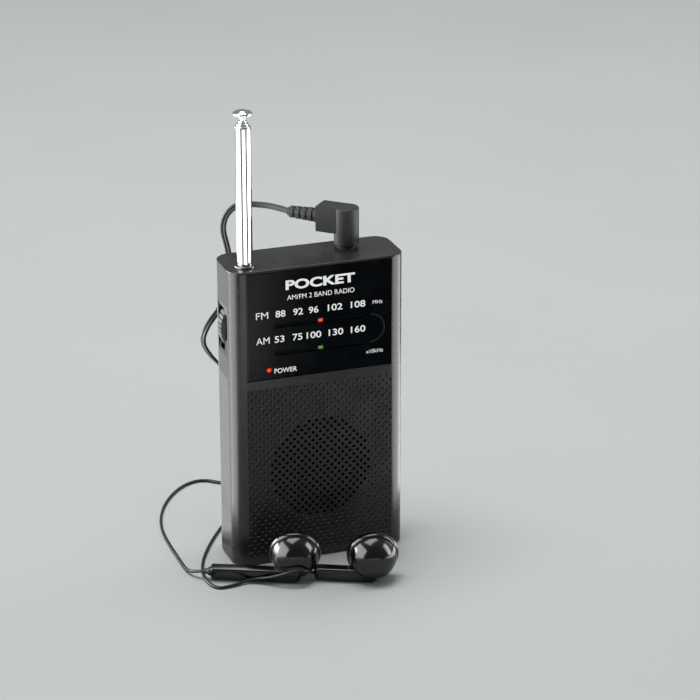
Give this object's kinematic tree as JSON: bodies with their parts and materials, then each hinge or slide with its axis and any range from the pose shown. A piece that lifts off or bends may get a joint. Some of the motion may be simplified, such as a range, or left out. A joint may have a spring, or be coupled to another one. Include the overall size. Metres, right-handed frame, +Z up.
{
  "type": "pocket radio",
  "caption": "Upright black pocket radio with a slide-rule dial, perforated speaker grille, side thumbwheels, telescopic antenna and corded earphones plugged into its top.",
  "frame": {"origin": "middle of the radio case's bottom face, on the surface it stands on", "axes": "+Z up along the case's height, +X to the right seen from the dial side, +Y from the dial to the back; the dial and speaker face -Y"},
  "size_m": [0.0892, 0.1196, 0.1775],
  "materials": {
    "case_black": "fine satin texture",
    "dial_black": "polished",
    "grille_metal": "satin black",
    "window_clear": "clear plastic",
    "knob_grey": "satin",
    "chrome": "polished",
    "steel": "bright",
    "lamp_red": "tinted lens",
    "mark_red": "plain",
    "mark_green": "plain",
    "pointer_pale": "plain",
    "string_pale": "waxed string",
    "board_green": "lacquered board",
    "inner_black": "moulded",
    "ferrite": "matt",
    "winding": "enamelled wire",
    "paper": "pressed paper",
    "tray_plastic": "moulded",
    "cell_jacket": "plain jacket",
    "plug_rubber": "soft matt",
    "pin_gold": "plated",
    "cord_rubber": "soft",
    "earbud_black": "polished",
    "earbud_metal": "satin"
  },
  "bodies": {
    "radio": {"lower_housing": "case_black", "upper_housing": "case_black", "rear_cover": "case_black", "case_screws": "steel", "speaker_grille": "grille_metal", "dial_lens": "dial_black", "dial_windows": "window_clear", "left_side_panel": "dial_black", "right_side_panel": "dial_black", "power_led": "lamp_red", "dial_string": "string_pale", "dial_backplate": "inner_black", "antenna_collar": "chrome", "main_board": "board_green", "radio_chip": "inner_black", "if_coils": "steel", "electrolytic_caps": "inner_black", "ferrite_rod": "ferrite", "ferrite_coil": "winding", "tuning_capacitor": "tray_plastic", "volume_pot": "steel", "band_switch_base": "steel", "headphone_jack": "inner_black", "jack_ring": "inner_black", "speaker_frame": "steel", "speaker_cone": "paper", "speaker_magnet": "ferrite", "battery_tray": "tray_plastic", "battery_contacts": "steel", "battery_cells": "cell_jacket", "earphone_plug": "plug_rubber", "plug_pin": "pin_gold", "plug_relief": "plug_rubber", "main_cord": "cord_rubber", "cord_coil": "cord_rubber", "cord_tail": "cord_rubber", "cord_splitter": "plug_rubber", "left_lead": "cord_rubber", "right_lead": "cord_rubber", "left_earbud_shell": "earbud_black", "left_earbud_face": "earbud_metal", "right_earbud_shell": "earbud_black", "right_earbud_face": "earbud_metal", "cord_guard": "plug_rubber", "earbud_drivers": "steel"},
    "antenna_outer": {"antenna_tube": "chrome"},
    "antenna_first": {"antenna_section_1": "chrome"},
    "antenna_second": {"antenna_section_2": "chrome"},
    "antenna_third": {"antenna_section_3": "chrome", "antenna_tip": "chrome"},
    "tuning_control": {"tuning_wheel": "knob_grey", "tuning_shaft": "inner_black"},
    "pointer_carriage": {"dial_pointer": "pointer_pale", "pointer_mark_red": "mark_red", "pointer_mark_green": "mark_green"},
    "string_pulley": {"dial_pulley": "inner_black"},
    "volume_control": {"volume_wheel": "knob_grey", "volume_shaft": "inner_black"},
    "band_knob": {"band_switch_knob": "case_black"},
    "door": {"battery_door": "case_black"}
  },
  "joints": [
    {"name": "antenna_raise", "type": "slide", "parent": "radio", "child": "antenna_outer", "axis": [0, 0, 1], "range_m": [-0.0556, 0.0385]},
    {"name": "section_1_extend", "type": "slide", "parent": "antenna_outer", "child": "antenna_first", "axis": [0, 0, 1], "range_m": [0, 0.088]},
    {"name": "section_2_extend", "type": "slide", "parent": "antenna_first", "child": "antenna_second", "axis": [0, 0, 1], "range_m": [0, 0.088]},
    {"name": "section_3_extend", "type": "slide", "parent": "antenna_second", "child": "antenna_third", "axis": [0, 0, 1], "range_m": [0, 0.088]},
    {"name": "tuning_turn", "type": "hinge", "parent": "radio", "child": "tuning_control", "pos_m": [0.0225, 0.0012, 0.093], "axis": [0, 1, 0], "range_deg": [-150, 142]},
    {"name": "pointer_travel", "type": "slide", "parent": "radio", "child": "pointer_carriage", "axis": [1, 0, 0], "range_m": [-0.0163, 0.0155]},
    {"name": "pulley_turn", "type": "hinge", "parent": "radio", "child": "string_pulley", "pos_m": [-0.0204, -0.0055, 0.0971], "axis": [0, 1, 0], "range_deg": [-460, 436]},
    {"name": "volume_turn", "type": "hinge", "parent": "radio", "child": "volume_control", "pos_m": [-0.0225, 0.0012, 0.093], "axis": [0, 1, 0], "range_deg": [-150, 150]},
    {"name": "band_switch_slide", "type": "slide", "parent": "radio", "child": "band_knob", "axis": [1, 0, 0], "range_m": [0, 0.004]},
    {"name": "battery_door_turn", "type": "hinge", "parent": "radio", "child": "door", "pos_m": [0, 0.0108, 0.0043], "axis": [-1, 0, 0], "range_deg": [0, 64]}
  ],
  "couplings": [
    {"joint": "pointer_travel", "follows": "tuning_turn", "m_per_rad": 0.0061},
    {"joint": "pulley_turn", "follows": "tuning_turn", "ratio": 3.05}
  ]
}
